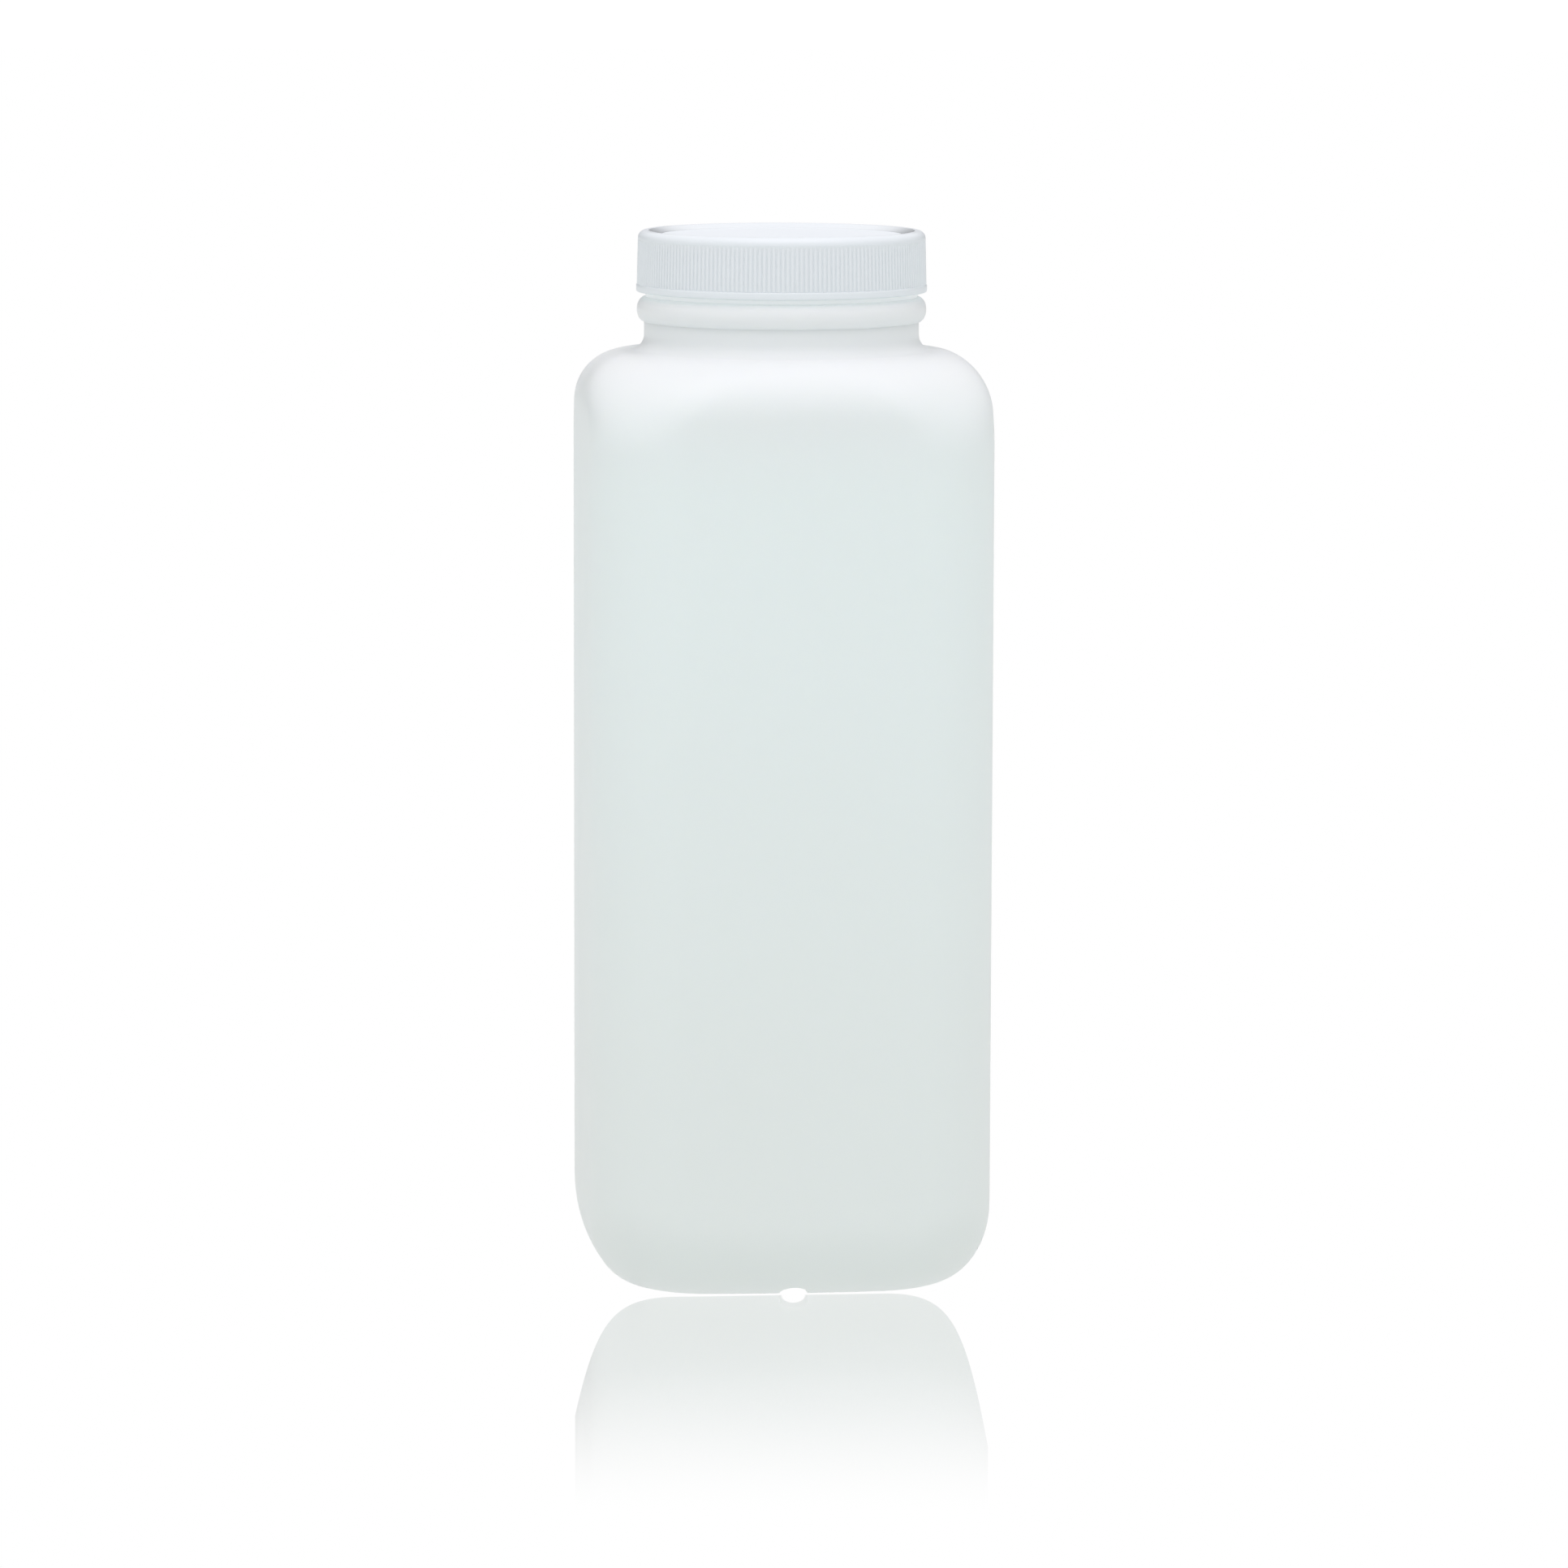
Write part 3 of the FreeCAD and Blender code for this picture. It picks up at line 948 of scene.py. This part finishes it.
def ring_of_copies() -> bpy.types.NodeTree:
    """Builds the Geometry Nodes tree that repeats a mesh in a ring about Z.

    Returns:
        The tree, with inputs Geometry, Count, Turn offset and Material.
    """
    tree = bpy.data.node_groups.new("ring_of_copies", "GeometryNodeTree")
    kinds = (("Geometry", "NodeSocketGeometry"), ("Count", "NodeSocketInt"),
             ("Turn offset", "NodeSocketFloat"), ("Material", "NodeSocketMaterial"))
    for name, kind in kinds:
        tree.interface.new_socket(name=name, in_out="INPUT", socket_type=kind)
    tree.interface.new_socket(name="Geometry", in_out="OUTPUT", socket_type="NodeSocketGeometry")
    nodes = Nodes(tree)
    given = nodes.add("NodeGroupInput").outputs
    points = nodes.add("GeometryNodePoints", {"Count": given["Count"]})
    index = nodes.add("GeometryNodeInputIndex").outputs[0]
    step = nodes.math("DIVIDE", 2 * math.pi, given["Count"])
    turn = nodes.math("MULTIPLY", nodes.math("ADD", index, given["Turn offset"]), step)
    rotation = nodes.add("ShaderNodeCombineXYZ", {"Z": turn})
    copies = nodes.add("GeometryNodeInstanceOnPoints", {
        "Points": points.outputs[0], "Instance": given["Geometry"], "Rotation": rotation.outputs[0]})
    real = nodes.add("GeometryNodeRealizeInstances", {"Geometry": copies.outputs[0]})
    dressed = nodes.add("GeometryNodeSetMaterial", {
        "Geometry": real.outputs[0], "Material": given["Material"]})
    nodes.add("NodeGroupOutput", {"Geometry": dressed.outputs[0]})
    return tree


@dataclass
class SealingDisc:
    """The disc inside the cap: foam with a thin film on the side that lies on the rim."""

    foam_low: float = field(default_factory=lambda: in_mm("liner_foam")[0].z)
    foam_high: float = field(default_factory=lambda: in_mm("liner_foam")[1].z)
    film_low: float = field(default_factory=lambda: in_mm("liner_facing")[0].z)
    radius: float = field(default_factory=lambda: in_mm("liner_foam")[1].x)
    rim_radius: float = 23.7
    dent_width: float = 1.6
    dent_depth: float = 0.06
    columns: int = 128

    def dent(self, radius: float) -> float:
        """Gives how deep the rim has marked the film at a radius."""
        away = abs(radius - self.rim_radius) / self.dent_width
        return self.dent_depth * max(0.0, 1 - away * away)

    def turned(self, name: str, points: list[tuple[float, float]]) -> bpy.types.Mesh:
        """Makes a closed mesh by turning a profile.

        Args:
            name: the mesh's name.
            points: radius and level along the profile, from the axis to the axis.

        Returns:
            The mesh, in metres.
        """
        rings = []
        for radius, level in points:
            angles = [2 * math.pi * i / self.columns for i in range(self.columns)]
            rings.append([(radius * math.cos(a), radius * math.sin(a), level) for a in angles])
        return closed_skin(name, rings, 40.0)

    def build(self) -> None:
        """Makes the disc's two layers and dresses them."""
        soft = 0.22
        foam = profile(
            line((0.5, self.foam_low), (self.radius - soft, self.foam_low), 12),
            arc((self.radius - soft, self.foam_low + soft), soft, soft, -90, 0, 4),
            arc((self.radius - soft, self.foam_high - soft), soft, soft, 0, 90, 4),
            line((self.radius - soft, self.foam_high), (0.5, self.foam_high), 8))
        mesh = self.turned("sealing_foam", foam)
        finish_piece("sealing_foam", mesh, ClosedCellFoam(), "seal", "liner_foam")
        edge = self.radius - 0.12
        film = []
        for radius, level in profile(
                line((0.5, self.film_low), (20.0, self.film_low), 6),
                line((20.0, self.film_low), (edge, self.film_low), 40)):
            film.append((radius, level + self.dent(radius)))
        film += [(edge + 0.04, self.film_low + 0.05), (edge, self.foam_low)]
        film += line((edge, self.foam_low), (0.5, self.foam_low), 8)
        mesh = self.turned("sealing_film", film)
        finish_piece("sealing_film", mesh, FacingFilm(), "seal", "liner_facing")


@dataclass
class Studio:
    """The white studio: a pale glossy floor, soft light all round and the camera."""

    turn: float = 5.2           # degrees that the camera stands round towards -X
    aside: float = 0.714        # the camera's place across its own view, in mm
    distance: float = 1357.4    # the camera's place back from the bottle's axis
    height: float = 276.35
    pitch: float = 7.632
    roll: float = 0.153
    lens: float = 162.26
    seen: float = 1.06          # the surroundings as the camera sees them
    front_way: tuple = (-0.25, -0.9, 0.36)
    front_sky: float = 0.88     # the surroundings as light, in front, at the sides and behind
    side_sky: float = 0.73
    back_sky: float = 0.95
    back_gloss: float = 0.15    # what is low behind as a gloss mirrors it, against as it lights
    floor_reach: float = 8.0    # metres to the floor's edges
    bounce: float = 0.83        # the floor as light
    mirror: float = 0.63        # share of the floor's mirror beside the bottle
    mirror_full: float = 0.085  # metres in front of the axis at which the mirror starts to fade
    mirror_end: float = 0.21
    foot: float = 0.0306        # metres in front of the axis at which the floor starts to mirror
    foot_side: float = 0.02     # metres aside from which that line curves forwards
    foot_end: float = 0.0385    # metres aside up to which the floor mirrors at all
    foot_curve: float = 1.05
    foot_soft: float = 0.0004
    notch_side: float = 0.0023  # half axes of the painted light patch before the groove in the base, where the mirror is left out and the plain white floor stands in for light seen through the groove
    notch_front: float = 0.0072

    def camera(self) -> None:
        """Places the camera."""
        data = bpy.data.cameras.new("camera")
        data.lens = self.lens
        data.sensor_width = 36.0
        data.clip_end = 100.0
        camera = bpy.data.objects.new("camera", data)
        bpy.context.scene.collection.objects.link(camera)
        heading = Matrix.Rotation(math.radians(-self.turn), 4, "Z")
        place = heading @ Vector((self.aside * MM, -self.distance * MM, self.height * MM))
        tilt = Matrix.Rotation(math.radians(90 - self.pitch), 4, "X")
        roll = Matrix.Rotation(math.radians(self.roll), 4, "Z")
        camera.matrix_world = Matrix.Translation(place) @ heading @ tilt @ roll
        bpy.context.scene.camera = camera

    def mirror_share(self, nodes: Nodes, place: bpy.types.NodeSocket) -> bpy.types.NodeSocket:
        """Adds the share of the floor's mirror: none under the foot, most before it, fading forwards, and
        none in a painted light patch before the groove.

        Args:
            nodes: the floor material's nodes.
            place: its Object coordinates.

        Returns:
            The share, from 0 to 1.
        """
        apart = nodes.add("ShaderNodeSeparateXYZ", {0: place}).outputs
        ahead = nodes.math("MULTIPLY", apart["Y"], -1.0)
        aside = nodes.math("ABSOLUTE", apart["X"])
        slant = nodes.math("MULTIPLY", apart["X"], math.tan(math.radians(self.turn)))
        front = nodes.math("SUBTRACT", nodes.math("ADD", ahead, slant), self.foot)
        fading = nodes.spread(ahead, self.mirror, 0.0, self.mirror_full, self.mirror_end)
        corner = nodes.math("MAXIMUM", nodes.math("SUBTRACT", aside, self.foot_side), 0.0)
        left = nodes.math("MAXIMUM", nodes.math("SUBTRACT", self.foot_end, aside), 0.00001)
        edge = nodes.math("DIVIDE", nodes.math("MULTIPLY", corner, corner), left)
        beyond = nodes.math("SUBTRACT", front, nodes.math("MULTIPLY", edge, self.foot_curve))
        outside = nodes.spread(beyond, 0.0, 1.0, -self.foot_soft, self.foot_soft)
        # painted light: the mirror is left out in a patch before the groove, so the plain white floor there
        # stands in for the reflection of light seen through the groove
        middle = self.foot * math.sin(math.radians(self.turn))
        across = nodes.math("DIVIDE", nodes.math("SUBTRACT", apart["X"], middle), self.notch_side)
        along = nodes.math("DIVIDE", front, self.notch_front)
        across = nodes.math("MULTIPLY", across, across)
        reach = nodes.math("ADD", across, nodes.math("MULTIPLY", along, along))
        clear = nodes.spread(reach, 0.0, 1.0, 0.85, 1.15)
        return nodes.math("MULTIPLY", fading, nodes.math("MULTIPLY", outside, clear))

    def floor(self) -> None:
        """Lays the floor, white and shadowless, with a mirror that fades towards the camera."""
        mesh = bpy.data.meshes.new("floor")
        far = self.floor_reach
        corners = [(-far, -far, 0.0), (far, -far, 0.0), (far, far, 0.0), (-far, far, 0.0)]
        mesh.from_pydata(corners, [], [(0, 1, 2, 3)])
        floor = bpy.data.objects.new("floor", mesh)
        bpy.context.scene.collection.objects.link(floor)
        floor.location.z = -0.0001
        floor.rotation_euler.z = math.radians(-self.turn)
        material, nodes, place = new_material("studio_floor")
        seen = nodes.add("ShaderNodeLightPath").outputs["Is Camera Ray"]
        strength = nodes.spread(seen, self.bounce, 1.0)
        mirror = nodes.math("MULTIPLY", self.mirror_share(nodes, place), seen)
        paper = nodes.add("ShaderNodeEmission", {"Color": rgba(1.0, 1.0, 1.0), "Strength": strength})
        gloss = nodes.add("ShaderNodeBsdfGlossy", {"Color": rgba(1.0, 1.0, 1.0), "Roughness": 0.0})
        mixed = nodes.add("ShaderNodeMixShader", {0: mirror, 1: paper.outputs[0], 2: gloss.outputs[0]})
        nodes.add("ShaderNodeOutputMaterial", {"Surface": mixed.outputs[0]})
        mesh.materials.append(material)

    def surroundings(self) -> None:
        """Sets the surroundings: white as seen, but as light dimmer at the sides than before and behind."""
        world = bpy.data.worlds.new("studio")
        bpy.context.scene.world = world
        world.cycles.sampling_method = "NONE"
        world.use_nodes = True
        nodes = Nodes(world.node_tree)
        path = nodes.add("ShaderNodeLightPath").outputs
        direct = nodes.math("MAXIMUM", path["Is Camera Ray"], path["Is Singular Ray"])
        way = nodes.add("ShaderNodeTexCoord").outputs["Generated"]
        front = nodes.add("ShaderNodeVectorMath", {0: way, 1: self.front_way}, operation="DOT_PRODUCT")
        lit = nodes.spread(front.outputs["Value"], self.side_sky, self.front_sky, 0.0, 0.9)
        back = nodes.spread(front.outputs["Value"], self.back_sky, self.side_sky, -0.9, -0.1)
        kept = nodes.spread(front.outputs["Value"], self.back_gloss, 1.0, -0.3, 0.5)
        rise = nodes.add("ShaderNodeSeparateXYZ", {0: way}).outputs["Z"]
        kept = nodes.math("MAXIMUM", kept, nodes.spread(rise, 0.0, 1.0, 0.1, 0.5))
        kept = nodes.math("MAXIMUM", kept, nodes.math("SUBTRACT", 1.0, path["Is Glossy Ray"]))
        strength = nodes.math("MULTIPLY", nodes.math("MAXIMUM", lit, back), kept)
        dim = nodes.add("ShaderNodeBackground", {"Color": rgba(1.0, 1.0, 1.0), "Strength": strength})
        bright = nodes.add("ShaderNodeBackground", {"Color": rgba(1.0, 1.0, 1.0), "Strength": self.seen})
        mixed = nodes.add("ShaderNodeMixShader", {0: direct, 1: dim.outputs[0], 2: bright.outputs[0]})
        nodes.add("ShaderNodeOutputWorld", {"Surface": mixed.outputs[0]})

    def lamp(self, name: str, place: tuple, size: float, power: float, colour: tuple) -> None:
        """Hangs a square soft lamp that faces the bottle.

        Args:
            name: the lamp's name.
            place: where it hangs, in metres.
            size: its width, in metres.
            power: its power, in watts.
            colour: its linear colour.
        """
        data = bpy.data.lights.new(name, "AREA")
        data.size = size
        data.energy = power
        data.color = colour
        lamp = bpy.data.objects.new(name, data)
        bpy.context.scene.collection.objects.link(lamp)
        lamp.location = place
        aim = Vector((0.0, 0.0, 0.1)) - Vector(place)
        lamp.rotation_euler = aim.to_track_quat("-Z", "Y").to_euler()

    def build(self) -> None:
        """Sets up the whole studio."""
        self.camera()
        self.floor()
        self.surroundings()
        self.lamp("overhead_softbox", (0.0, -0.35, 1.3), 1.3, 6.4, (0.99, 0.87, 0.96))
        bpy.context.scene.view_settings.view_transform = "Standard"
        LOG.info("studio: camera %.0f mm away, lens %.1f mm", self.distance, self.lens)


def main() -> None:
    """Builds the bottle, its cap and disc, and the studio, in that order."""
    logging.basicConfig(level=logging.INFO, format="%(name)s: %(message)s")
    bottle = BottleBody()
    bottle.build()
    ScrewCap().build(bottle)
    SealingDisc().build()
    Studio().build()


if __name__ == "__main__":
    main()
